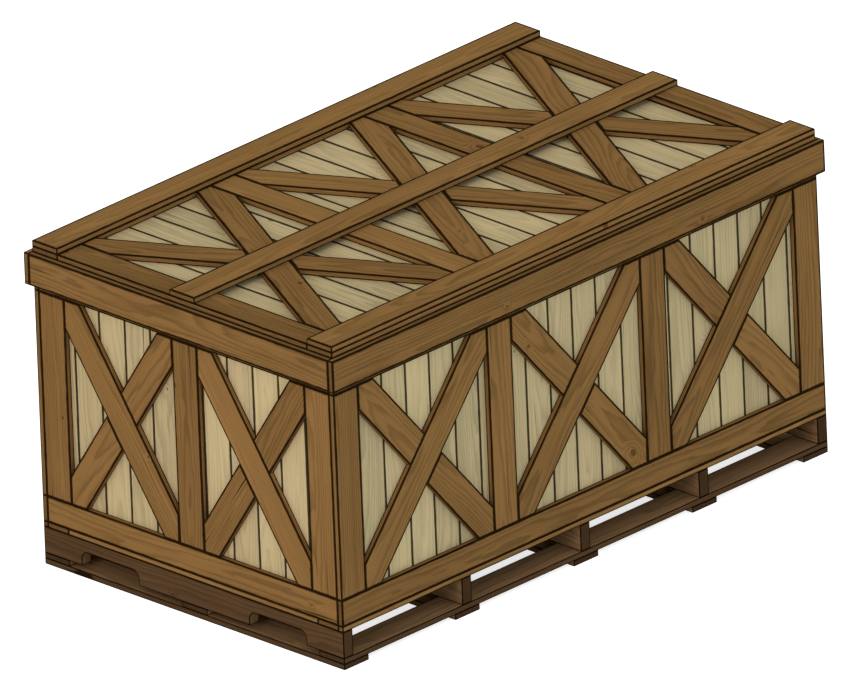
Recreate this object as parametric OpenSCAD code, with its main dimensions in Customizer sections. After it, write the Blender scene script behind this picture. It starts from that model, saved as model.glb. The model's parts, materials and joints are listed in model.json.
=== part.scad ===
// Wooden shipping crate on a five-stringer pallet, with a lift-off skirted lid.
// Millimetres, +Z up, origin on the ground under the middle of the crate.
// The long walls are the front (-Y) and the back (+Y), the short walls the left and right ends.

/* [Crate] */
// Length over the end walls
crate_length = 2000; // [1200:10:3000]
// Width over the long walls
crate_width = 1200; // [1000:10:1600]
// Height of the walls above the floor frame
wall_height = 828; // [500:1:1400]

/* [Frame boards] */
// Width of the uprights and of the top rails
cleat_w = 100; // [70:1:140]
// Thickness of the frame boards on walls, floor and lid
cleat_t = 18; // [12:0.5:25]
// Width of the bottom rails
bottom_rail_w = 82; // [60:1:120]
// Width of the diagonal braces
brace_w = 100; // [60:1:120]
// Number of braced bays in each long wall and in the lid
long_bays = 3; // [2:1:4]
// Number of braced bays in each end wall
end_bays = 2; // [1:1:3]

/* [Sheathing] */
// Thickness of the sheathing boards
sheathing_t = 18; // [9:0.5:25]
// Nominal width of one sheathing board, evened out to fill each panel
sheathing_w = 100; // [70:1:150]
// Open joint between two sheathing boards
sheathing_gap = 0.4; // [0.2:0.1:4]

/* [Floor] */
// Height of the floor frame that lies on the stringers
floor_frame_t = 18; // [12:0.5:30]
// Width of the cleats across the floor frame
floor_cleat_w = 100; // [70:1:140]
// Width of the cleats along the two sides of the floor frame
floor_side_cleat_w = 82; // [60:1:120]
// Thickness of the floor boards
floor_board_t = 18; // [12:0.5:30]

/* [Pallet] */
// Thickness of a stringer
stringer_t = 38; // [25:1:60]
// Height of a stringer
stringer_h = 82; // [70:1:120]
// Distance from the end of a stringer to its notch
notch_setback = 150; // [120:1:200]
// Length of a notch
notch_l = 228; // [120:1:240]
// Height of a notch
notch_h = 44; // [30:1:50]
// Radius of the upper corners of a notch
notch_r = 25; // [5:1:28]
// Width of the skid boards along the underside
skid_board_w = 100; // [70:1:118]
// Width of the ground boards across the underside
ground_board_w = 100; // [70:1:140]
// Thickness of the skid boards and ground boards
pallet_board_t = 18; // [12:0.5:25]

/* [Lid] */
// Play between the lid's skirt and the walls, on each side
lid_play = 0.5; // [0.3:0.1:3]
// Height of the skirt boards
skirt_h = 100; // [60:1:160]
// Thickness of the skirt boards
skirt_t = 18; // [12:0.5:25]
// Width of the battens on top of the lid
batten_w = 100; // [70:1:140]
// Thickness of the battens
batten_t = 18; // [12:0.5:25]

/* [Nails] */
// Radius of a nail's shank
nail_r = 1.7; // [1:0.1:3]
// Radius of a nail's head
nail_head_r = 4; // [2.5:0.1:6]
// Thickness of a nail's head
nail_head_t = 1.2; // [0.8:0.1:2]
// How deep a corner nail's head is set into the board
corner_nail_set = 1; // [0.5:0.1:4]
// Length of a corner nail
corner_nail_l = 65; // [40:1:80]
// Number of nails up each corner
corner_nails_up = 6; // [3:1:10]
// Length of a pallet nail
pallet_nail_l = 75; // [50:1:90]
// Distance between the two nails where a ground board crosses a skid board
pallet_nail_pitch = 56; // [20:1:60]
// How deep a pallet nail's head is set below the underside
pallet_nail_set = 2; // [0.5:0.1:4]
// Distance from a rail to the first corner nail
corner_nail_margin = 60; // [30:1:100]

/* [Hidden] */

// Each stringer and each ground board has a node of its own, so their number is fixed
stringers = 5;

frame_wood = "#836036";
sheathing_wood = "#b7a279";
pallet_wood = "#503a26";
nail_steel = "#8a8d90";

// Heights of the layers, from the ground up
skid_z = pallet_board_t;
stringer_z = skid_z + pallet_board_t;
floor_frame_z = stringer_z + stringer_h;
floor_z = floor_frame_z + floor_frame_t;
wall_top_z = floor_z + wall_height;
lid_cleat_z = wall_top_z + sheathing_t;
batten_z = lid_cleat_z + cleat_t;

// Outer faces of the walls, and the size of the lid's panel
half_length = crate_length / 2;
half_width = crate_width / 2;
end_frame_l = crate_width - 2 * cleat_t;
end_sheathing_l = crate_width - 2 * (cleat_t + sheathing_t);
long_sheathing_l = crate_length - 2 * cleat_t;
floor_l = crate_length - 2 * (cleat_t + sheathing_t);
lid_length = crate_length + 2 * lid_play;
lid_width = crate_width + 2 * lid_play;

// The stringers stand at an equal pitch, the outer two flush with the ends
stringer_pitch = (crate_length - stringer_t) / (stringers - 1);
function stringer_x(i) = -half_length + stringer_t / 2 + i * stringer_pitch;

// A board that is centred on a stringer, but kept flush with the crate's ends
function centred_board_x(i, board_w) =
    max(-half_length + board_w / 2, min(half_length - board_w / 2, stringer_x(i)));

// A bay is the free rectangle between two uprights and two rails
function bay_l(span, bays) = (span - (bays + 1) * cleat_w) / bays;
function bay_x(span, bays, i) = -span / 2 + cleat_w + i * (bay_l(span, bays) + cleat_w);
bay_h = wall_height - bottom_rail_w - cleat_w;

// Half a brace's width measured along the bay and up the bay
function along_run(l, h) = brace_w / 2 * sqrt(l * l + h * h) / h;
function up_run(l, h) = brace_w / 2 * sqrt(l * l + h * h) / l;

// Outline of the brace that runs from the bay's low corner to the opposite high corner
function brace_outline(l, h) = let (a = along_run(l, h), u = up_run(l, h))
    [[0, 0], [a, 0], [l, h - u], [l, h], [l - a, h], [0, u]];

// Outlines of the two halves of the other brace, which butt against the first
function half_brace_outline(l, h) = let (a = along_run(l, h), u = up_run(l, h))
    [[0, h], [0, h - u], [l / 2 - a, h / 2], [l / 2, h / 2 + u], [a, h]];

// A board with its low corner at the given point
module board(low, size) translate(low) cube(size);

// A standing row of boards side by side, with an open joint between neighbours
module board_row(span, board_l, board_t) {
    count = round(span / sheathing_w);
    pitch = span / count;
    for (i = [0 : count - 1])
        board([-span / 2 + i * pitch + sheathing_gap / 2, 0, 0],
              [pitch - sheathing_gap, board_t, board_l]);
}

// The same row laid flat, its boards running along Y
module laid_row(span, board_l, board_t, z)
    translate([0, -board_l / 2, z + board_t]) rotate([-90, 0, 0]) board_row(span, board_l, board_t);

// Wall parts are drawn as a front wall: outer face at y = 0, up from the floor frame
module bottom_rail(span) board([-span / 2, 0, 0], [span, cleat_t, bottom_rail_w]);
module top_rail(span) board([-span / 2, 0, wall_height - cleat_w], [span, cleat_t, cleat_w]);

module uprights(span, bays)
    for (i = [0 : bays])
        board([bay_x(span, bays, i) - cleat_w, 0, bottom_rail_w], [cleat_w, cleat_t, bay_h]);

// Flat brace shapes for every bay of a frame that is h high between its rails
module flat_braces(span, bays, h)
    for (i = [0 : bays - 1])
        translate([bay_x(span, bays, i), 0]) polygon(brace_outline(bay_l(span, bays), h));

module flat_half_braces(span, bays, h)
    for (i = [0 : bays - 1])
        for (turn = [0, 180])
            translate([bay_x(span, bays, i) + bay_l(span, bays) / 2, h / 2])
                rotate(turn)
                    translate([-bay_l(span, bays) / 2, -h / 2])
                        polygon(half_brace_outline(bay_l(span, bays), h));

// Stands a flat brace pattern up in the wall's frame
module stand_up()
    translate([0, cleat_t, bottom_rail_w]) rotate([90, 0, 0]) linear_extrude(cleat_t) children();

module braces(span, bays) stand_up() flat_braces(span, bays, bay_h);
module half_braces(span, bays) stand_up() flat_half_braces(span, bays, bay_h);
module wall_sheathing(span) translate([0, cleat_t, 0]) board_row(span, wall_height, sheathing_t);

// Places a part drawn as a front wall on each of the four sides
module at_front() translate([0, -half_width, floor_z]) children();
module at_back() rotate(180) at_front() children();
module at_left() rotate(-90) translate([0, -half_length, floor_z]) children();
module at_right() rotate(180) at_left() children();

module front_bottom_rail() color(frame_wood) at_front() bottom_rail(crate_length);
module front_top_rail() color(frame_wood) at_front() top_rail(crate_length);
module front_uprights() color(frame_wood) at_front() uprights(crate_length, long_bays);
module front_braces() color(frame_wood) at_front() braces(crate_length, long_bays);
module front_half_braces() color(frame_wood) at_front() half_braces(crate_length, long_bays);
module front_sheathing() color(sheathing_wood) at_front() wall_sheathing(long_sheathing_l);

module back_bottom_rail() color(frame_wood) at_back() bottom_rail(crate_length);
module back_top_rail() color(frame_wood) at_back() top_rail(crate_length);
module back_uprights() color(frame_wood) at_back() uprights(crate_length, long_bays);
module back_braces() color(frame_wood) at_back() braces(crate_length, long_bays);
module back_half_braces() color(frame_wood) at_back() half_braces(crate_length, long_bays);
module back_sheathing() color(sheathing_wood) at_back() wall_sheathing(long_sheathing_l);

module left_bottom_rail() color(frame_wood) at_left() bottom_rail(end_frame_l);
module left_top_rail() color(frame_wood) at_left() top_rail(end_frame_l);
module left_uprights() color(frame_wood) at_left() uprights(end_frame_l, end_bays);
module left_braces() color(frame_wood) at_left() mirror([1, 0, 0]) braces(end_frame_l, end_bays);
module left_half_braces()
    color(frame_wood) at_left() mirror([1, 0, 0]) half_braces(end_frame_l, end_bays);
module left_sheathing() color(sheathing_wood) at_left() wall_sheathing(end_sheathing_l);

module right_bottom_rail() color(frame_wood) at_right() bottom_rail(end_frame_l);
module right_top_rail() color(frame_wood) at_right() top_rail(end_frame_l);
module right_uprights() color(frame_wood) at_right() uprights(end_frame_l, end_bays);
module right_braces() color(frame_wood) at_right() mirror([1, 0, 0]) braces(end_frame_l, end_bays);
module right_half_braces()
    color(frame_wood) at_right() mirror([1, 0, 0]) half_braces(end_frame_l, end_bays);
module right_sheathing() color(sheathing_wood) at_right() wall_sheathing(end_sheathing_l);

// A board across the underside of the pallet, under one stringer
module ground_board(i)
    color(pallet_wood)
        board([centred_board_x(i, ground_board_w) - ground_board_w / 2, -half_width, 0],
              [ground_board_w, crate_width, pallet_board_t]);

// A board along the underside of the pallet; row is -1 at the front, 0 in the middle, 1 at the back
module skid_board(row)
    color(pallet_wood)
        board([-half_length, row * (half_width - skid_board_w / 2) - skid_board_w / 2, skid_z],
              [crate_length, skid_board_w, pallet_board_t]);

// Fork notch through a stringer, open at the bottom, with round upper corners
module notch_outline()
    union() {
        square([notch_l, notch_h - notch_r]);
        translate([notch_r, 0]) square([notch_l - 2 * notch_r, notch_h]);
        for (x = [notch_r, notch_l - notch_r])
            translate([x, notch_h - notch_r]) circle(notch_r, $fn = 48);
    }

module stringer(i)
    color(pallet_wood)
        translate([stringer_x(i) - stringer_t / 2, 0, stringer_z])
            rotate([90, 0, 90])
                linear_extrude(stringer_t)
                    difference() {
                        translate([-half_width, 0]) square([crate_width, stringer_h]);
                        for (side = [0, 1])
                            mirror([side, 0])
                                translate([-half_width + notch_setback, 0]) notch_outline();
                    }

// Strip that packs the long wall's bottom rail up to the height of the floor frame
module floor_edge_strip(side)
    color(frame_wood)
        board([-half_length, side * (half_width - cleat_t / 2) - cleat_t / 2, floor_frame_z],
              [crate_length, cleat_t, floor_frame_t]);

floor_side_cleat_y = half_width - cleat_t - floor_side_cleat_w / 2;
module floor_side_cleat(side)
    color(frame_wood)
        board([-half_length, side * floor_side_cleat_y - floor_side_cleat_w / 2, floor_frame_z],
              [crate_length, floor_side_cleat_w, floor_frame_t]);

module floor_cross_cleats() {
    cleat_l = 2 * floor_side_cleat_y - floor_side_cleat_w;
    color(frame_wood)
        for (i = [0 : stringers - 1])
            board([centred_board_x(i, floor_cleat_w) - floor_cleat_w / 2, -cleat_l / 2, floor_frame_z],
                  [floor_cleat_w, cleat_l, floor_frame_t]);
}

module floor_boards()
    color(sheathing_wood) rotate(90) laid_row(end_sheathing_l, floor_l, floor_board_t, floor_z);

module lid_boards()
    color(sheathing_wood) laid_row(lid_length, lid_width, sheathing_t, wall_top_z);

// Frame of the lid: side cleats all along, cross cleats and braces between them
lid_bay_w = lid_width - 2 * cleat_w;

module lid_side_cleat(side)
    color(frame_wood)
        board([-lid_length / 2, side * (lid_width - cleat_w) / 2 - cleat_w / 2, lid_cleat_z],
              [lid_length, cleat_w, cleat_t]);

module lid_cross_cleats()
    color(frame_wood)
        for (i = [0 : long_bays])
            board([bay_x(lid_length, long_bays, i) - cleat_w, -lid_bay_w / 2, lid_cleat_z],
                  [cleat_w, lid_bay_w, cleat_t]);

module lid_braces()
    color(frame_wood) translate([0, -lid_bay_w / 2, lid_cleat_z])
        linear_extrude(cleat_t) flat_braces(lid_length, long_bays, lid_bay_w);

module lid_half_braces()
    color(frame_wood) translate([0, -lid_bay_w / 2, lid_cleat_z])
        linear_extrude(cleat_t) flat_half_braces(lid_length, long_bays, lid_bay_w);

// Skirt boards hang outside the walls; the long ones cover the ends of the short ones
skirt_z = lid_cleat_z - skirt_h;

module lid_long_skirt(side)
    color(frame_wood)
        board([-lid_length / 2 - skirt_t, side * (lid_width + skirt_t) / 2 - skirt_t / 2, skirt_z],
              [lid_length + 2 * skirt_t, skirt_t, skirt_h]);

module lid_end_skirt(side)
    color(frame_wood)
        board([side * (lid_length + skirt_t) / 2 - skirt_t / 2, -lid_width / 2, skirt_z],
              [skirt_t, lid_width, skirt_h]);

// Battens along the top of the lid; row is -1 at the front, 0 in the middle, 1 at the back
module lid_batten(row)
    color(frame_wood)
        board([-lid_length / 2, row * (lid_width - batten_w) / 2 - batten_w / 2, batten_z],
              [lid_length, batten_w, batten_t]);

// A nail driven along +Z, with the outside of its head at z = 0
module nail(length) {
    point_l = 2 * nail_r;
    cylinder(h = nail_head_t, r = nail_head_r, $fn = 32);
    cylinder(h = length - point_l, r = nail_r, $fn = 24);
    translate([0, 0, length - point_l]) cylinder(h = point_l, r1 = nail_r, r2 = 0, $fn = 24);
}

// Nails up through ground board and skid board into the stringer
module pallet_nails()
    color(nail_steel)
        for (i = [0 : stringers - 1], row = [-1 : 1], end = [-1, 1])
            translate([stringer_x(i),
                       row * (half_width - skid_board_w / 2) + end * pallet_nail_pitch / 2,
                       pallet_nail_set])
                nail(pallet_nail_l);

// Nails through the long walls' end uprights into the edges of the end walls
module corner_nails() {
    low_z = floor_z + bottom_rail_w + corner_nail_margin;
    pitch = (bay_h - 2 * corner_nail_margin) / (corner_nails_up - 1);
    color(nail_steel)
        for (turn = [0, 180], side = [-1, 1], i = [0 : corner_nails_up - 1])
            rotate(turn)
                translate([side * (half_length - cleat_t / 2), -half_width + corner_nail_set,
                           low_z + i * pitch])
                    rotate([-90, 0, 0]) nail(corner_nail_l);
}

ground_board(0);  // ground_board_1
ground_board(1);  // ground_board_2
ground_board(2);  // ground_board_3
ground_board(3);  // ground_board_4
ground_board(4);  // ground_board_5
skid_board(-1);  // skid_board_front
skid_board(0);  // skid_board_middle
skid_board(1);  // skid_board_back
stringer(0);  // stringer_1
stringer(1);  // stringer_2
stringer(2);  // stringer_3
stringer(3);  // stringer_4
stringer(4);  // stringer_5
floor_edge_strip(-1);  // floor_edge_strip_front
floor_edge_strip(1);  // floor_edge_strip_back
floor_side_cleat(-1);  // floor_side_cleat_front
floor_side_cleat(1);  // floor_side_cleat_back
floor_cross_cleats();
floor_boards();
front_bottom_rail();
front_top_rail();
front_uprights();
front_braces();
front_half_braces();
front_sheathing();
back_bottom_rail();
back_top_rail();
back_uprights();
back_braces();
back_half_braces();
back_sheathing();
left_bottom_rail();
left_top_rail();
left_uprights();
left_braces();
left_half_braces();
left_sheathing();
right_bottom_rail();
right_top_rail();
right_uprights();
right_braces();
right_half_braces();
right_sheathing();
lid_boards();
lid_side_cleat(-1);  // lid_side_cleat_front
lid_side_cleat(1);  // lid_side_cleat_back
lid_cross_cleats();
lid_braces();
lid_half_braces();
lid_long_skirt(-1);  // lid_skirt_front
lid_long_skirt(1);  // lid_skirt_back
lid_end_skirt(-1);  // lid_skirt_left
lid_end_skirt(1);  // lid_skirt_right
lid_batten(-1);  // lid_batten_front
lid_batten(0);  // lid_batten_middle
lid_batten(1);  // lid_batten_back
pallet_nails();
corner_nails();
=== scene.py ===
"""A wooden shipping crate: sawn boards with eased edges, on a plain white studio floor.

Every board is worked from its own solid, so it stays where the frame puts it. Each board
carries marks that its wood reads: "grain", the place in the board's own log; "place", how far
a point is from the board's middle, with half the board's length; "tone", how light the board
is among its neighbours; "rim", which is 1 along its edges; "end", its end grain; and
"sheltered", its faces inside the pallet.
"""
import json
import math
import random

import bpy
import numpy as np
from mathutils import Matrix, Vector


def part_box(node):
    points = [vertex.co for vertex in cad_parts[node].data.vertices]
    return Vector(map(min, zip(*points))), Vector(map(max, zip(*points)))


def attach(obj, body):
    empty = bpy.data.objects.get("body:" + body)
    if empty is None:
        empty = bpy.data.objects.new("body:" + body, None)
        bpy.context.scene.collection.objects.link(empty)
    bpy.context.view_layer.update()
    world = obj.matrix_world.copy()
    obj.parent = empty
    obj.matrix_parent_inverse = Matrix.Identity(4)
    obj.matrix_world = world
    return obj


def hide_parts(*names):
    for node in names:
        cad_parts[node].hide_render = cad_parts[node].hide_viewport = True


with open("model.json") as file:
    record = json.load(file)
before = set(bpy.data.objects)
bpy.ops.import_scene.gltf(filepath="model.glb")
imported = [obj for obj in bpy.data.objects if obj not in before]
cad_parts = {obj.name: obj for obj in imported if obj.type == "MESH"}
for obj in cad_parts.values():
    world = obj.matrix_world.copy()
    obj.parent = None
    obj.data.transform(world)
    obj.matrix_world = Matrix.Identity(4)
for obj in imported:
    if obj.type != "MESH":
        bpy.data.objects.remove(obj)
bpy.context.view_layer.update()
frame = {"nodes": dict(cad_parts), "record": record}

# Rounding of the boards' edges, in metres as every length here
EASED_EDGE = {"frame_wood": 0.0007, "sheathing_wood": 0.0007, "pallet_wood": 0.0004}

# How far the painted dark outline reaches in from the edges of a board's broad faces and of its narrow
# ones
BROAD_RIM = {"frame_wood": 0.008, "sheathing_wood": 0.006, "pallet_wood": 0.004}
NARROW_RIM = {"frame_wood": 0.0048, "sheathing_wood": 0.0048, "pallet_wood": 0.0034}
LID_RIM_SCALE = 1.2
BROAD_FROM = 0.03
LEAST_RIMMED_FACE = 0.00009
RIM_DARKNESS = 0.95

# Edges bent by more than this are rounded, and faces bent by less are shaded as one
SHARP_ANGLE = math.radians(40)
BOARD_SMOOTH_ANGLE = math.radians(25)
NAIL_SMOOTH_ANGLE = math.radians(35)
SAME_POINT = 0.00001

# Material slots that tell a board's faces apart while it is being worked
FLAT_FACE = 0
ROUNDED_FACE = 1
BROAD_FACE = 2

# Where boards are cut from their logs: along it, across it and out from its middle
LOG_RUN = 40
OFF_MIDDLE = 0.045
LEAST_DEPTH = 0.02
MOST_DEPTH = 0.11
TONE_SPREAD = 0.75
MOST_TONE = 1.6
END_GRAIN_FROM = 0.6

# The wood's figure
KNOT_CELLS = (2.3, 7.0, 0.0)
LEAST_KNOT_R = 0.004
MOST_KNOT_R = 0.011
RING_PITCH = 0.0062
KNOT_RING_PITCH = 0.0022
CRACK_ROWS = 26.0
CRACK_WIDTH = 0.0012
END_CRACK_WIDTH = 0.0034
RELIEF = 0.0011

# Panel nails, driven from inside through the sheathing into the frame boards
NAIL_HEAD_R = 0.004
NAIL_HEAD_T = 0.0012
NAIL_HEAD_ROUNDING = NAIL_HEAD_T * 0.3
NAIL_SIDES = 16
NAIL_PROUD = 0.0004
LEAST_PROUD_SHARE = 0.3
NAIL_LEAN = 0.05
NAIL_FROM_MIDDLE = 0.028
NAIL_STAGGER = 0.018
UPRIGHT_NAIL_PITCH = 0.14
BRACE_NAIL_PITCH = 0.15
BRACE_END_MARGIN = NAIL_FROM_MIDDLE * 2

# Holes on the underside in which the pallet's nails are sunk, each in a shallow dimple
SUNK_HOLE_R = 0.0048
SUNK_HOLE_DEPTH = 0.0024
DIMPLE_R = 0.009
DIMPLE_DEPTH = 0.0004
HOLE_SIDES = 20
HOLE_TAPER = 0.9
HOLE_REACH = 1.05

# The camera: the point that it looks at, and its right, up and backward directions
VIEW_POINT = Vector((-0.5459, -0.5304, 0.8458))
VIEW_RIGHT = Vector((0.69537, -0.71767, -0.03767))
VIEW_UP = Vector((0.31453, 0.25679, 0.91385))
VIEW_BACK = Vector((-0.64617, -0.64731, 0.40429))
VIEW_WIDTH = 2.4518
VIEW_DISTANCE = 6.0
VIEW_FAR = 60.0

# Studio
FLOOR_SIZE = 60.0
SUN_SPREAD = math.radians(20)

# Panels whose boards touch, with the direction of a board's width
PANELS = {"front_sheathing": 0, "back_sheathing": 0, "left_sheathing": 1, "right_sheathing": 1,
          "lid_boards": 0, "floor_boards": 1}

# Finishes, as written in a paint list
FRAME_BROWN = "#836038"
SHEATHING_TAN = "#b7a27b"
PALLET_BROWN = "#503a26"
NAIL_GREY = "#4b443c"
RUST_BROWN = "#4a2c1a"


def linear(hex_colour, scale=1.0):
    """The linear RGBA of a written colour, made lighter or darker by scale."""
    levels = [int(hex_colour[i:i + 2], 16) / 255 for i in (1, 3, 5)]
    lit = [v / 12.92 if v <= 0.04045 else ((v + 0.055) / 1.055) ** 2.4 for v in levels]
    return (*[v * scale for v in lit], 1.0)


# Materials ---------------------------------------------------------------------------------

class Tree:
    """A material's nodes, with short ways to add them."""

    def __init__(self, tree):
        self.tree = tree
        tree.nodes.clear()

    def add(self, kind, *values, **settings):
        """Adds a node; values go to its inputs in order, or by name when one is a dict."""
        node = self.tree.nodes.new(kind)
        named = settings.pop("named", {})
        for key, value in settings.items():
            setattr(node, key, value)
        for place, value in [*enumerate(values), *named.items()]:
            if isinstance(value, bpy.types.NodeSocket):
                self.tree.links.new(value, node.inputs[place])
            elif value is not None:
                node.inputs[place].default_value = value
        return node

    def math(self, operation, *values, clamp=False):
        return self.add("ShaderNodeMath", *values, operation=operation, use_clamp=clamp).outputs[0]

    def vector(self, operation, *values, output="Vector"):
        return self.add("ShaderNodeVectorMath", *values, operation=operation).outputs[output]

    def mark(self, name, output="Fac"):
        return self.add("ShaderNodeAttribute", attribute_name=name).outputs[output]

    def noise(self, place, scale, detail=2.0, rough=0.5, output="Fac"):
        """Noise that is stretched by a scale for each direction of place."""
        stretched = self.vector("MULTIPLY", place, scale)
        named = {"Scale": 1.0, "Detail": detail, "Roughness": rough}
        return self.add("ShaderNodeTexNoise", stretched, named=named).outputs[output]

    def ease(self, value, start, end, low=0.0, high=1.0):
        """Goes smoothly from low to high while value goes from start to end."""
        named = {"Value": value, "From Min": start, "From Max": end, "To Min": low, "To Max": high}
        node = self.add("ShaderNodeMapRange", interpolation_type="SMOOTHSTEP", named=named)
        return node.outputs[0]

    def mix(self, share, a, b, blend="MIX"):
        named = {0: share, 6: a, 7: b}
        return self.add("ShaderNodeMix", data_type="RGBA", blend_type=blend, named=named).outputs[2]

    def times(self, colour, factor):
        """A colour multiplied by another one."""
        return self.mix(1.0, colour, factor, "MULTIPLY")

    def total(self, start, shares):
        """The start value with a share of each source added."""
        for source, share in shares:
            start = self.math("ADD", self.math("MULTIPLY", source, share), start)
        return start

    def ramp(self, value, stops):
        node = self.add("ShaderNodeValToRGB", value)
        points = node.color_ramp.elements
        while len(points) < len(stops):
            points.new(0.5)
        for point, (place, colour) in zip(points, stops):
            point.position = place
            point.color = colour
        return node.outputs[0]


def new_material(name):
    material = bpy.data.materials.new(name)
    material.use_nodes = True
    return material, Tree(material.node_tree)


def knots_in(t, grain, knots):
    """Knots in long cells on the board's face, of which only a share has one.

    Gives the knots, the wood that bends round them, the distance to each and its radius.
    """
    cell_place = t.vector("MULTIPLY", grain, KNOT_CELLS)
    cell = t.add("ShaderNodeTexVoronoi", cell_place, voronoi_dimensions="2D", named={"Scale": 1.0})
    chance = t.add("ShaderNodeSeparateColor", cell.outputs["Color"])
    off_centre = t.vector("DIVIDE", t.vector("SUBTRACT", cell_place, cell.outputs["Position"]),
                          (KNOT_CELLS[0] / 0.7, KNOT_CELLS[1], 1.0))
    distance = t.vector("LENGTH", off_centre, output="Value")
    radius = t.ease(chance.outputs[1], 0.0, 1.0, LEAST_KNOT_R, MOST_KNOT_R)
    has_knot = t.math("LESS_THAN", chance.outputs[0], knots)
    reach = t.math("DIVIDE", distance, radius)
    knot = t.math("MULTIPLY", has_knot, t.ease(reach, 1.0, 0.8))
    halo = t.math("MULTIPLY", has_knot, t.ease(reach, 4.0, 0.6))
    return knot, halo, distance, radius


def late_wood(t, grain, knot, halo, knot_distance, knot_radius):
    """Rings round the log's middle, bent slowly along the board and round the knots."""
    bend = t.noise(grain, (1.1, 5.0, 5.0), 1.0, output="Color")
    shift = t.vector("MULTIPLY", t.vector("SUBTRACT", bend, (0.5, 0.5, 0.5)), (0.0, 0.07, 0.07))
    bent = t.vector("ADD", grain, shift)
    radius = t.vector("LENGTH", t.vector("MULTIPLY", bent, (0.0, 1.0, 1.0)), output="Value")
    push = t.math("MULTIPLY", halo, t.math("MULTIPLY", knot_radius, 1.5))
    pushed = t.math("ADD", radius, push)
    wobble = t.math("MULTIPLY", t.noise(grain, (9.0, 60.0, 60.0), 1.0), 0.9)
    turns = t.math("ADD", t.math("DIVIDE", pushed, RING_PITCH), wobble)
    knot_turns = t.math("DIVIDE", knot_distance, KNOT_RING_PITCH)
    named = {0: knot, 2: turns, 3: knot_turns}
    all_turns = t.add("ShaderNodeMix", data_type="FLOAT", named=named).outputs[0]
    part = t.math("FRACT", all_turns)
    return t.math("MULTIPLY", t.ease(part, 0.25, 0.88), t.ease(part, 1.0, 0.9))


def drying_cracks(t, grain):
    """Thin lines along the fibres that open here and there, most at the board's ends."""
    place = t.add("ShaderNodeSeparateXYZ", t.mark("place", "Vector"))
    spread = t.vector("DOT_PRODUCT", grain, (0.0, CRACK_ROWS, 0.0), output="Value")
    wander = t.math("MULTIPLY", t.noise(grain, (1.6, 9.0, 3.0), 2.0), 1.3)
    line = t.math("ADD", spread, wander)
    off_middle = t.math("ABSOLUTE", t.math("SUBTRACT", t.math("FRACT", line), 0.5))
    off_line = t.math("DIVIDE", off_middle, CRACK_ROWS)
    row = t.math("MULTIPLY", t.math("FLOOR", line), 5.37)
    along = t.add("ShaderNodeSeparateXYZ", grain).outputs["X"]
    row_place = t.add("ShaderNodeCombineXYZ", t.math("MULTIPLY", along, 3.2), row).outputs[0]
    open_here = t.ease(t.noise(row_place, (1.0, 1.0, 1.0), 1.0), 0.56, 0.8)
    to_end = t.math("SUBTRACT", place.outputs["Y"], t.math("ABSOLUTE", place.outputs["X"]))
    width = t.math("MULTIPLY", open_here, t.ease(to_end, 0.25, 0.0, CRACK_WIDTH, END_CRACK_WIDTH))
    return t.ease(t.math("SUBTRACT", width, off_line), -0.0001, 0.0004)


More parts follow.
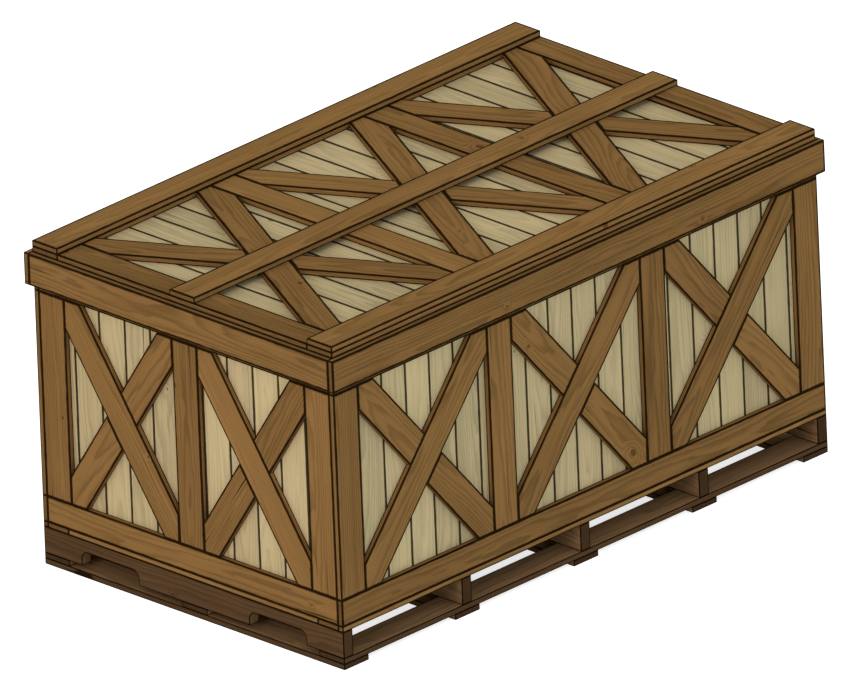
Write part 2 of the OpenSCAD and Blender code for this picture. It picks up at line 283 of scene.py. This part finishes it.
def wood(name, colour, lift, light, dark, rings, knots, roughness, inside=(1.0, 1.0, 1.0, 1.0)):
    """Sawn softwood: rings of a log that is bent a little, fibres, knots, and a dark outline painted
    along every edge.

    lift, light and dark scale the colour for common, pale and dark wood, rings is how strongly
    they show, knots is the share of cells with one, and inside paints the sheltered faces lighter, as
    painted light against their shade.
    """
    material, t = new_material(name)
    grain = t.mark("grain", "Vector")
    knot, halo, knot_distance, knot_radius = knots_in(t, grain, knots)
    late = late_wood(t, grain, knot, halo, knot_distance, knot_radius)
    crack = drying_cracks(t, grain)
    fibre = t.noise(grain, (8.0, 520.0, 520.0), 3.0, 0.6)
    streak = t.noise(grain, (1.6, 70.0, 70.0), 2.0)
    blotch = t.noise(grain, (2.2, 9.0, 9.0), 2.0)
    fleck = t.ease(t.noise(grain, (55.0, 900.0, 900.0), 1.0), 0.66, 0.74)

    # How light the wood is: each source's share, and its usual value, at which the level is 0.5
    sources = [(late, -rings, 0.42), (fibre, 0.38, 0.5), (streak, 0.42, 0.5), (blotch, 0.4, 0.5),
               (t.mark("tone"), 0.11, 0.0), (fleck, -0.22, 0.0455)]
    start = 0.5 - sum(share * usual for _, share, usual in sources)
    level = t.total(start, [(source, share) for source, share, _ in sources])
    shade = t.ramp(level, [(0.0, linear(colour, dark * lift)), (0.5, linear(colour, lift)),
                           (1.0, linear(colour, light * lift))])
    knotted = t.mix(t.math("MULTIPLY", knot, 0.75), shade, t.times(shade, (0.42, 0.3, 0.2, 1.0)))

    # Faces inside the pallet are painted about three times lighter, a painted light that makes up for
    # the shade under the crate
    painted_light_inside = t.mix(t.mark("sheltered"), knotted, t.times(knotted, inside))

    # A near-black outline painted along every edge, which is painted shade in the seams between boards
    # and a line round the outer edges; cracks that are dark; and end grain that is darker
    ragged = t.math("MULTIPLY_ADD", t.noise(grain, (30.0, 160.0, 160.0), 3.0), 0.5, -0.25)
    rim_mask = t.ease(t.math("ADD", t.mark("rim"), ragged), 0.2, 0.58)
    outline_and_cracks = t.math("MAXIMUM", t.math("MULTIPLY", rim_mask, RIM_DARKNESS), t.math("MULTIPLY", crack, 0.85))
    outlined = t.times(painted_light_inside, t.mix(outline_and_cracks, (1.0, 1.0, 1.0, 1.0), (0.04, 0.035, 0.03, 1.0)))
    ended = t.mix(t.math("MULTIPLY", t.mark("end"), 0.3), outlined, (0.0, 0.0, 0.0, 1.0))

    # Relief: soft early wood is a little lower, fibres stand up, the saw left faint marks
    saw = t.add("ShaderNodeTexWave", t.vector("MULTIPLY", grain, (60.0, 9.0, 9.0)), wave_type="BANDS",
                named={"Scale": 1.0, "Distortion": 3.0, "Detail": 1.0}).outputs["Fac"]
    raised = [(fibre, 0.6), (saw, 0.18), (streak, 0.4), (knot, 0.3), (crack, -1.6), (fleck, -0.3)]
    relief = t.total(t.math("MULTIPLY", late, 0.25), raised)
    bump = t.add("ShaderNodeBump", named={"Strength": 0.45, "Distance": RELIEF, "Height": relief})

    worn = t.math("ADD", t.math("MULTIPLY", fibre, 0.22), t.math("MULTIPLY", late, -0.08))
    rough = t.math("ADD", worn, roughness - 0.08, clamp=True)
    surface = t.add("ShaderNodeBsdfPrincipled", named={
        "Base Color": ended, "Roughness": rough, "Normal": bump.outputs[0], "Specular IOR Level": 0.0})
    t.add("ShaderNodeOutputMaterial", surface.outputs[0])
    return material


def nail_metal(name, colour):
    """Steel that has dulled, with patches of rust."""
    material, t = new_material(name)
    place = t.add("ShaderNodeTexCoord").outputs["Object"]
    grit = t.noise(place, (900.0, 900.0, 900.0), 3.0)
    rust = t.ease(t.noise(place, (210.0, 210.0, 210.0), 2.0), 0.33, 0.55)
    dull = t.mix(grit, linear(colour, 0.5), linear(colour, 1.3))
    shade = t.mix(rust, dull, t.mix(grit, linear(RUST_BROWN, 0.5), linear(RUST_BROWN, 1.4)))
    relief = t.math("MULTIPLY", grit, t.ease(rust, 0.0, 1.0, 0.3, 1.0))
    bump = t.add("ShaderNodeBump", named={"Strength": 0.4, "Distance": 0.0003, "Height": relief})
    surface = t.add("ShaderNodeBsdfPrincipled", named={
        "Base Color": shade, "Metallic": t.ease(rust, 0.0, 1.0, 0.6, 0.1),
        "Roughness": t.ease(rust, 0.0, 1.0, 0.45, 0.8), "Normal": bump.outputs[0],
        "Specular IOR Level": 0.2})
    t.add("ShaderNodeOutputMaterial", surface.outputs[0])
    return material


def floor_white(name):
    """White studio floor that keeps a light shadow."""
    material, t = new_material(name)
    diffuse = t.add("ShaderNodeBsdfDiffuse", (0.88, 0.88, 0.88, 1.0))
    glow = t.add("ShaderNodeEmission", (1.0, 1.0, 1.0, 1.0), named={"Strength": 0.75})
    both = t.add("ShaderNodeAddShader", diffuse.outputs[0], glow.outputs[0])
    seen = t.add("ShaderNodeLightPath").outputs["Is Camera Ray"]
    surface = t.add("ShaderNodeMixShader", seen, diffuse.outputs[0], both.outputs[0])
    t.add("ShaderNodeOutputMaterial", surface.outputs[0])
    return material


# Boards ------------------------------------------------------------------------------------

def use_alone(piece):
    """Selects the piece and nothing else."""
    bpy.ops.object.select_all(action="DESELECT")
    piece.select_set(True)
    bpy.context.view_layer.objects.active = piece


def solid_copy(node):
    """A new piece in the node's own shape, with whole faces in place of triangles."""
    mesh = frame["nodes"][node].data.copy()
    mesh.materials.clear()
    piece = bpy.data.objects.new(node + "_wood", mesh)
    bpy.context.scene.collection.objects.link(piece)
    use_alone(piece)
    bpy.ops.mesh.customdata_custom_splitnormals_clear()
    bpy.ops.object.mode_set(mode="EDIT")
    bpy.ops.mesh.select_all(action="SELECT")
    bpy.ops.mesh.remove_doubles(threshold=SAME_POINT)
    bpy.ops.mesh.dissolve_limited(angle_limit=math.radians(1))
    bpy.ops.object.mode_set(mode="OBJECT")
    return piece


def bevel(piece, width, slot=-1):
    """Rounds the sharp edges of the active piece; a slot of -1 keeps the faces' own."""
    bpy.ops.object.modifier_add(type="BEVEL")
    rounding = piece.modifiers[-1]
    rounding.width = width
    rounding.segments = 2
    rounding.limit_method = "ANGLE"
    rounding.angle_limit = SHARP_ANGLE
    rounding.material = slot
    bpy.ops.object.modifier_apply(modifier=rounding.name)


def ease_edges(piece, material, width):
    """Rounds the boards' edges, and gives the rounded faces a slot of their own."""
    use_alone(piece)
    mesh = piece.data
    for _ in (FLAT_FACE, ROUNDED_FACE, BROAD_FACE):
        mesh.materials.append(material)
    mesh.polygons.foreach_set("material_index", [FLAT_FACE] * len(mesh.polygons))
    bevel(piece, width, ROUNDED_FACE)


def ring_faces(piece, broad_rim, narrow_rim):
    """Puts a ring of points just inside the border of each face, and marks the rims."""
    mesh = piece.data
    set_mark(mesh, "rim", "FLOAT", "POINT", np.ones(len(mesh.vertices)))
    for face in mesh.polygons:
        longest = max((mesh.vertices[a].co - mesh.vertices[b].co).length for a, b in face.edge_keys)
        if face.material_index == FLAT_FACE and face.area / longest > BROAD_FROM:
            face.material_index = BROAD_FACE
    for slot, rim_width in ((BROAD_FACE, broad_rim), (FLAT_FACE, narrow_rim)):
        for face in mesh.polygons:
            face.select = face.material_index == slot and face.area > LEAST_RIMMED_FACE
        bpy.ops.object.mode_set(mode="EDIT")
        bpy.ops.mesh.select_mode(type="FACE")
        bpy.ops.mesh.inset(thickness=rim_width, depth=0)
        bpy.ops.object.mode_set(mode="OBJECT")
        mesh = piece.data
        for face in mesh.polygons:
            if face.select:
                for i in face.vertices:
                    mesh.attributes["rim"].data[i].value = 0.0
    mesh.polygons.foreach_set("material_index", [FLAT_FACE] * len(mesh.polygons))
    for spare in (BROAD_FACE, ROUNDED_FACE):
        mesh.materials.pop(index=spare)
    bpy.ops.object.shade_smooth_by_angle(angle=BOARD_SMOOTH_ANGLE)


def set_mark(mesh, name, kind, domain, values):
    """Writes a value for each point or face of the mesh, for the wood to read."""
    mark = mesh.attributes.new(name, kind, domain)
    field = "vector" if kind == "FLOAT_VECTOR" else "value"
    mark.data.foreach_set(field, np.asarray(values, np.float32).ravel())


def boards_of(mesh):
    """The separate boards of a mesh, each an array of its vertices' numbers."""
    parent = list(range(len(mesh.vertices)))

    def root(i):
        while parent[i] != i:
            parent[i] = parent[parent[i]]
            i = parent[i]
        return i

    for edge in mesh.edges:
        a, b = (root(v) for v in edge.vertices)
        parent[a] = b
    roots = np.array([root(i) for i in range(len(parent))])
    return [np.flatnonzero(roots == r) for r in sorted(set(roots))]


def mark_grain(piece):
    """Gives each board its place in a log, with the fibres along its longest edge."""
    mesh = piece.data
    luck = random.Random(piece.name)
    points = np.array([v.co for v in mesh.vertices])
    ends = np.array([e.vertices for e in mesh.edges])
    runs = points[ends[:, 1]] - points[ends[:, 0]]
    lengths = np.linalg.norm(runs, axis=1)
    grain = np.zeros_like(points)
    place = np.zeros_like(points)
    tone = np.zeros(len(points))
    direction = np.zeros_like(points)
    for board in boards_of(mesh):
        own_edges = np.flatnonzero(np.isin(ends[:, 0], board))
        longest = own_edges[np.argmax(lengths[own_edges])]
        along = runs[longest] / lengths[longest]
        low, high = points[board].min(0), points[board].max(0)
        thick = np.eye(3)[np.argmin(high - low)]
        across = np.cross(thick, along)
        local = (points[board] - (low + high) / 2) @ np.array([along, across, thick]).T
        log_place = (luck.uniform(0, LOG_RUN), luck.uniform(-OFF_MIDDLE, OFF_MIDDLE),
                     luck.choice((-1, 1)) * luck.uniform(LEAST_DEPTH, MOST_DEPTH))
        grain[board] = local + log_place
        place[board, 0] = local[:, 0]
        place[board, 1] = np.abs(local[:, 0]).max()
        tone[board] = max(-MOST_TONE, min(MOST_TONE, luck.gauss(0, TONE_SPREAD)))
        direction[board] = along
    set_mark(mesh, "grain", "FLOAT_VECTOR", "POINT", grain)
    set_mark(mesh, "place", "FLOAT_VECTOR", "POINT", place)
    set_mark(mesh, "tone", "FLOAT", "POINT", tone)
    cut = [abs(np.dot(face.normal, direction[face.vertices[0]])) > END_GRAIN_FROM
           for face in mesh.polygons]
    set_mark(mesh, "end", "FLOAT", "FACE", cut)


def mark_sheltered(piece):
    """Marks the faces that lie inside the pallet, away from its four outer sides, which the pallet wood
    paints lighter as painted light.
    """
    skin = Vector((1, 1, 0)) * (EASED_EDGE["pallet_wood"] * 1.5)
    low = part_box("skid_board_front")[0] + skin
    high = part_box("skid_board_back")[1] - skin
    inside = []
    for face in piece.data.polygons:
        x, y = face.center.xy
        inside.append(low.x < x < high.x and low.y < y < high.y)
    set_mark(piece.data, "sheltered", "FLOAT", "FACE", inside)


def boxes_of(piece):
    """The lowest and highest corners of each separate solid of a piece."""
    points = np.array([v.co for v in piece.data.vertices])
    return [(points[solid].min(0), points[solid].max(0)) for solid in boards_of(piece.data)]


def sunk_hole_cutter(spots):
    """A stepped plug at each spot, for sinking the nails' heads into the wood above it.

    A plug starts below the underside, so the dimple's slope is carried on down to there.
    """
    widest = 2 * DIMPLE_R - SUNK_HOLE_R
    bpy.ops.object.select_all(action="DESELECT")
    bpy.ops.mesh.primitive_circle_add(vertices=HOLE_SIDES, radius=widest, fill_type="NGON",
                                      location=(0, 0, 0))
    plug = bpy.context.active_object
    bpy.ops.object.mode_set(mode="EDIT")
    bpy.ops.mesh.select_all(action="SELECT")
    steps = ((2 * DIMPLE_DEPTH, SUNK_HOLE_R / widest), (SUNK_HOLE_DEPTH - DIMPLE_DEPTH, HOLE_TAPER))
    for rise, narrow in steps:
        bpy.ops.mesh.extrude_region_move(TRANSFORM_OT_translate={"value": (0, 0, rise)})
        bpy.ops.transform.resize(value=(narrow, narrow, 1), center_override=(0, 0, 0))
    bpy.ops.mesh.select_all(action="SELECT")
    bpy.ops.mesh.normals_make_consistent(inside=False)
    bpy.ops.object.mode_set(mode="OBJECT")
    return repeat(plug, [Matrix.Translation((x, y, -DIMPLE_DEPTH)) for x, y in spots], "hole_cutter")


def repeat(model, places, name):
    """Copies the model's mesh to each place and joins the copies into one piece."""
    copies = []
    for place in places:
        mesh = model.data.copy()
        mesh.transform(place)
        copies.append(bpy.data.objects.new(name, mesh))
        bpy.context.scene.collection.objects.link(copies[-1])
    bpy.data.objects.remove(model)
    use_alone(copies[0])
    for copy in copies:
        copy.select_set(True)
    bpy.ops.object.join()
    return copies[0]


def sink_holes(piece, cutter, spots):
    """Cuts the nail holes into a ground board, and marks each hole as rim, so that it is painted as dark
    as the outlined edges.
    """
    use_alone(piece)
    bpy.ops.object.modifier_add(type="BOOLEAN")
    cut = piece.modifiers[-1]
    cut.operation = "DIFFERENCE"
    cut.solver = "EXACT"
    cut.object = cutter
    bpy.ops.object.modifier_apply(modifier=cut.name)
    bpy.ops.object.shade_smooth_by_angle(angle=BOARD_SMOOTH_ANGLE)
    rim = piece.data.attributes["rim"].data
    for i, vertex in enumerate(piece.data.vertices):
        nearest = min((vertex.co.xy - Vector(spot)).length for spot in spots)
        # A hole's own faces are painted near-black like the outlined edges; the dimple round it is not.
        if nearest < DIMPLE_R * HOLE_REACH and vertex.co.z < SUNK_HOLE_DEPTH * HOLE_REACH:
            rim[i].value = float(nearest < SUNK_HOLE_R * HOLE_REACH)


def close_joints(piece, across):
    """Swells the boards of a panel until each touches the next; across is their width's direction."""
    points = piece.data.vertices
    boards = sorted(boards_of(piece.data), key=lambda board: points[board[0]].co[across])
    places = [[points[i].co[across] for i in board] for board in boards]
    for left, right, left_places, right_places in zip(boards, boards[1:], places, places[1:]):
        low, high = max(left_places), min(right_places)
        for board, edge in ((left, low), (right, high)):
            for i in board:
                if abs(points[i].co[across] - edge) < SAME_POINT:
                    points[i].co[across] = (low + high) / 2


def make_boards(node, body, slot, cutter, sunk_nails):
    """The boards of one node, worked from their own solid."""
    piece = solid_copy(node)
    if node in PANELS:
        close_joints(piece, PANELS[node])
    ease_edges(piece, WOODS[slot], EASED_EDGE[slot])
    broad_rim = BROAD_RIM[slot] * (LID_RIM_SCALE if body == "lid" else 1.0)
    ring_faces(piece, broad_rim, NARROW_RIM[slot])
    if node.startswith("ground_board"):
        sink_holes(piece, cutter, sunk_nails)
    mark_grain(piece)
    if slot == "pallet_wood":
        mark_sheltered(piece)
    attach(piece, body)
    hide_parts(node)
    return piece


def make_crate():
    """Every board of the crate and its lid, by the name of its node; nails keep their solids."""
    slots = {part["node"]: part["material_slot"] for part in frame["record"]["subparts"]}
    nails = solid_copy("pallet_nails")
    sunk_nails = [((low + high) / 2)[:2] for low, high in boxes_of(nails)]
    bpy.data.objects.remove(nails)
    cutter = sunk_hole_cutter(sunk_nails)
    pieces = {}
    for body, nodes in frame["record"]["behaviour"]["bodies"].items():
        for node in nodes:
            if slots[node] in WOODS:
                pieces[node] = make_boards(node, body, slots[node], cutter, sunk_nails)
            else:
                frame["nodes"][node].data.materials.clear()
                frame["nodes"][node].data.materials.append(STEEL)
    bpy.data.objects.remove(cutter)
    return pieces


# Nails -------------------------------------------------------------------------------------

def crossing_nails(boards, carriers, across):
    """Two nails, a little staggered, wherever a board crosses a carrier.

    across is the direction of the boards' width, as 0, 1 or 2.
    """
    spots = []
    for low, high in boards:
        for carrier_low, carrier_high in carriers:
            middle = (np.maximum(low, carrier_low) + np.minimum(high, carrier_high)) / 2
            lengthwise = 3 - across - np.argmin(high - low)
            for side in (-1, 1):
                spot = middle.copy()
                spot[across] += side * NAIL_FROM_MIDDLE
                spot[lengthwise] += side * NAIL_STAGGER
                spots.append(spot)
    return spots


def run_nails(low, high, pitch, lengthwise):
    """A zigzag of nails along a board of the frame."""
    count = int((high - low)[lengthwise] / pitch)
    middle = (low + high) / 2
    across = 3 - lengthwise - np.argmin(high - low)
    spots = []
    for i in range(count):
        spot = middle.copy()
        spot[lengthwise] += (i + 0.5 - count / 2) * pitch
        spot[across] += (-1) ** i * NAIL_STAGGER
        spots.append(spot)
    return spots


def brace_nails(piece):
    """Nails along the middle of each brace of a piece."""
    spots = []
    points = np.array([v.co for v in piece.data.vertices])
    for board in boards_of(piece.data):
        corners = points[board]
        middle = (corners.min(0) + corners.max(0)) / 2
        spread = corners - middle
        lean = np.linalg.eigh(spread.T @ spread)[1][:, -1]
        half = np.abs(spread @ lean).max() - BRACE_END_MARGIN
        count = max(2, int(2 * half / BRACE_NAIL_PITCH))
        spots.extend(middle + lean * half * (2 * i / (count - 1) - 1) for i in range(count))
    return spots


def drive_nails(name, body, spots, axis, face, out):
    """Nail heads at the spots, on the plane where coordinate axis is face, heads towards out."""
    luck = random.Random(name)
    bpy.ops.object.select_all(action="DESELECT")
    bpy.ops.mesh.primitive_cylinder_add(vertices=NAIL_SIDES, radius=NAIL_HEAD_R, depth=NAIL_HEAD_T,
                                        location=(0, 0, 0))
    head = bpy.context.active_object
    bevel(head, NAIL_HEAD_ROUNDING)
    bpy.ops.object.shade_smooth_by_angle(angle=NAIL_SMOOTH_ANGLE)
    head.data.materials.append(STEEL)

    outward = Vector([out * (i == axis) for i in range(3)])
    places = []
    for spot in spots:
        centre = Vector(spot)
        centre[axis] = face
        centre += outward * (NAIL_PROUD * luck.uniform(LEAST_PROUD_SHARE, 1.0) - NAIL_HEAD_T / 2)
        lean = Vector((luck.uniform(-NAIL_LEAN, NAIL_LEAN) for _ in range(3)))
        turn = (outward + lean).to_track_quat("Z", "Y").to_matrix().to_4x4()
        places.append(Matrix.Translation(centre) @ turn)
    piece = repeat(head, places, name)
    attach(piece, body)


def nail_wall(pieces, wall, axis, out):
    """The nails of one wall, driven from inside; out points into the crate."""
    boards = boxes_of(pieces[wall + "_sheathing"])
    rails = [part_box(wall + "_top_rail"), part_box(wall + "_bottom_rail")]
    rails = [(np.array(low), np.array(high)) for low, high in rails]
    spots = crossing_nails(boards, rails, 1 - axis)
    for low, high in boxes_of(pieces[wall + "_uprights"]):
        spots += run_nails(low, high, UPRIGHT_NAIL_PITCH, 2)
    spots += brace_nails(pieces[wall + "_braces"])
    spots += brace_nails(pieces[wall + "_half_braces"])
    inner = boards[0][1][axis] if out > 0 else boards[0][0][axis]
    drive_nails(wall + "_panel_nails", "crate", spots, axis, inner, out)


def nail_lid(pieces):
    """The nails of the lid's boards, with their heads on its underside."""
    boards = boxes_of(pieces["lid_boards"])
    cleats = boxes_of(pieces["lid_side_cleat_front"]) + boxes_of(pieces["lid_side_cleat_back"])
    spots = crossing_nails(boards, cleats, 0)
    spots += brace_nails(pieces["lid_braces"]) + brace_nails(pieces["lid_half_braces"])
    for low, high in boxes_of(pieces["lid_cross_cleats"]):
        spots += run_nails(low, high, UPRIGHT_NAIL_PITCH, 1)
    drive_nails("lid_panel_nails", "lid", spots, 2, boards[0][0][2], -1)


def nail_floor(pieces):
    """The nails of the floor boards, with their heads on top."""
    boards = boxes_of(pieces["floor_boards"])
    spots = crossing_nails(boards, boxes_of(pieces["floor_cross_cleats"]), 1)
    drive_nails("floor_nails", "crate", spots, 2, boards[0][1][2], 1)


# Studio ------------------------------------------------------------------------------------

def make_camera():
    """A camera without perspective, at the view point's side of the crate."""
    camera = bpy.data.objects.new("camera", bpy.data.cameras.new("camera"))
    camera.data.type = "ORTHO"
    camera.data.ortho_scale = VIEW_WIDTH
    camera.data.clip_end = VIEW_FAR
    turn = Matrix((VIEW_RIGHT, VIEW_UP, VIEW_BACK)).transposed().to_4x4()
    camera.matrix_world = Matrix.Translation(VIEW_POINT + VIEW_BACK * VIEW_DISTANCE) @ turn
    bpy.context.scene.collection.objects.link(camera)
    bpy.context.scene.camera = camera


def make_floor():
    """The white floor that the crate stands on."""
    bpy.ops.object.select_all(action="DESELECT")
    bpy.ops.mesh.primitive_plane_add(size=FLOOR_SIZE, location=(0, 0, 0))
    floor = bpy.context.active_object
    floor.name = "studio_floor"
    floor.data.materials.append(floor_white("floor_white"))


def make_lights():
    """A dome that is dimmer overhead, shown as white, and two broad suns."""
    world = bpy.data.worlds.new("studio")
    bpy.context.scene.world = world
    world.use_nodes = True
    t = Tree(world.node_tree)
    paths = t.add("ShaderNodeLightPath")
    shown = t.math("ADD", paths.outputs["Is Camera Ray"], paths.outputs["Is Glossy Ray"], clamp=True)
    way = t.add("ShaderNodeSeparateXYZ", t.add("ShaderNodeTexCoord").outputs["Generated"])
    height = t.math("MAXIMUM", way.outputs["Z"], 0.0)
    shade = t.mix(height, (1.0, 1.07, 1.02, 1.0), (0.66, 0.69, 0.66, 1.0))
    dome = t.add("ShaderNodeBackground", t.mix(shown, shade, (1.0, 1.0, 1.0, 1.0)), 1.0)
    t.add("ShaderNodeOutputWorld", dome.outputs[0])

    add_sun("key", 0.66, (1.0, 0.84, 0.85), (-1.0, -0.15, 0.35))
    add_sun("fill", 0.38, (0.48, 0.74, 1.0), (-0.15, -1.0, 0.35))


def add_sun(name, energy, colour, towards):
    """A broad, even light that comes from the direction towards."""
    lamp = bpy.data.lights.new(name, "SUN")
    lamp.energy = energy
    lamp.color = colour
    lamp.angle = SUN_SPREAD
    sun = bpy.data.objects.new(name, lamp)
    sun.rotation_euler = Vector(towards).to_track_quat("Z", "Y").to_euler()
    bpy.context.scene.collection.objects.link(sun)


# The crate ---------------------------------------------------------------------------------

WOODS = {
    "frame_wood": wood("frame_wood", FRAME_BROWN, lift=0.975, light=1.5, dark=0.5, rings=0.3,
                       knots=0.35, roughness=0.62),
    "sheathing_wood": wood("sheathing_wood", SHEATHING_TAN, lift=1.065, light=1.3, dark=0.62,
                           rings=0.25, knots=0.3, roughness=0.7),
    # inside paints the pallet's sheltered faces about three times lighter, as painted light against the
    # shade under the crate
    "pallet_wood": wood("pallet_wood", PALLET_BROWN, lift=1.02, light=1.6, dark=0.53, rings=0.3,
                        knots=0.3, roughness=0.7, inside=(2.9, 3.05, 3.15, 1.0)),
}
STEEL = nail_metal("nail_steel", NAIL_GREY)

pieces = make_crate()
nail_wall(pieces, "front", 1, 1)
nail_wall(pieces, "back", 1, -1)
nail_wall(pieces, "left", 0, 1)
nail_wall(pieces, "right", 0, -1)
nail_lid(pieces)
nail_floor(pieces)

make_camera()
make_floor()
make_lights()
bpy.context.scene.view_settings.view_transform = "Standard"
